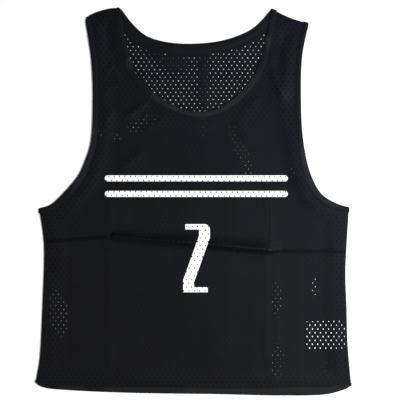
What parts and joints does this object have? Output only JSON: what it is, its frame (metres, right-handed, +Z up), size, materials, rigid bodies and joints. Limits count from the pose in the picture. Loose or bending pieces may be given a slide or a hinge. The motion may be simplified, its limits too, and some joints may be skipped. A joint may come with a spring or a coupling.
{
  "type": "mesh training bib",
  "caption": "Sleeveless mesh training bib lying flat, front over back, with a scoop neck, wide armholes, bound edges and a straight hem.",
  "frame": {"origin": "centre of the footprint, on the surface the bib lies on", "axes": "+Y towards the neck, +X towards the wearer's left, +Z up out of the front"},
  "size_m": [0.5314, 0.6509, 0.0081],
  "materials": {
    "net": "black polyester mesh knit",
    "tape": "black polyester binding",
    "label": "white satin"
  },
  "bodies": {
    "root": {"front_panel": "net", "back_panel": "net", "neck_binding": "tape", "armhole_binding_left": "tape", "armhole_binding_right": "tape", "hem_binding": "tape", "care_label": "label"}
  },
  "joints": []
}
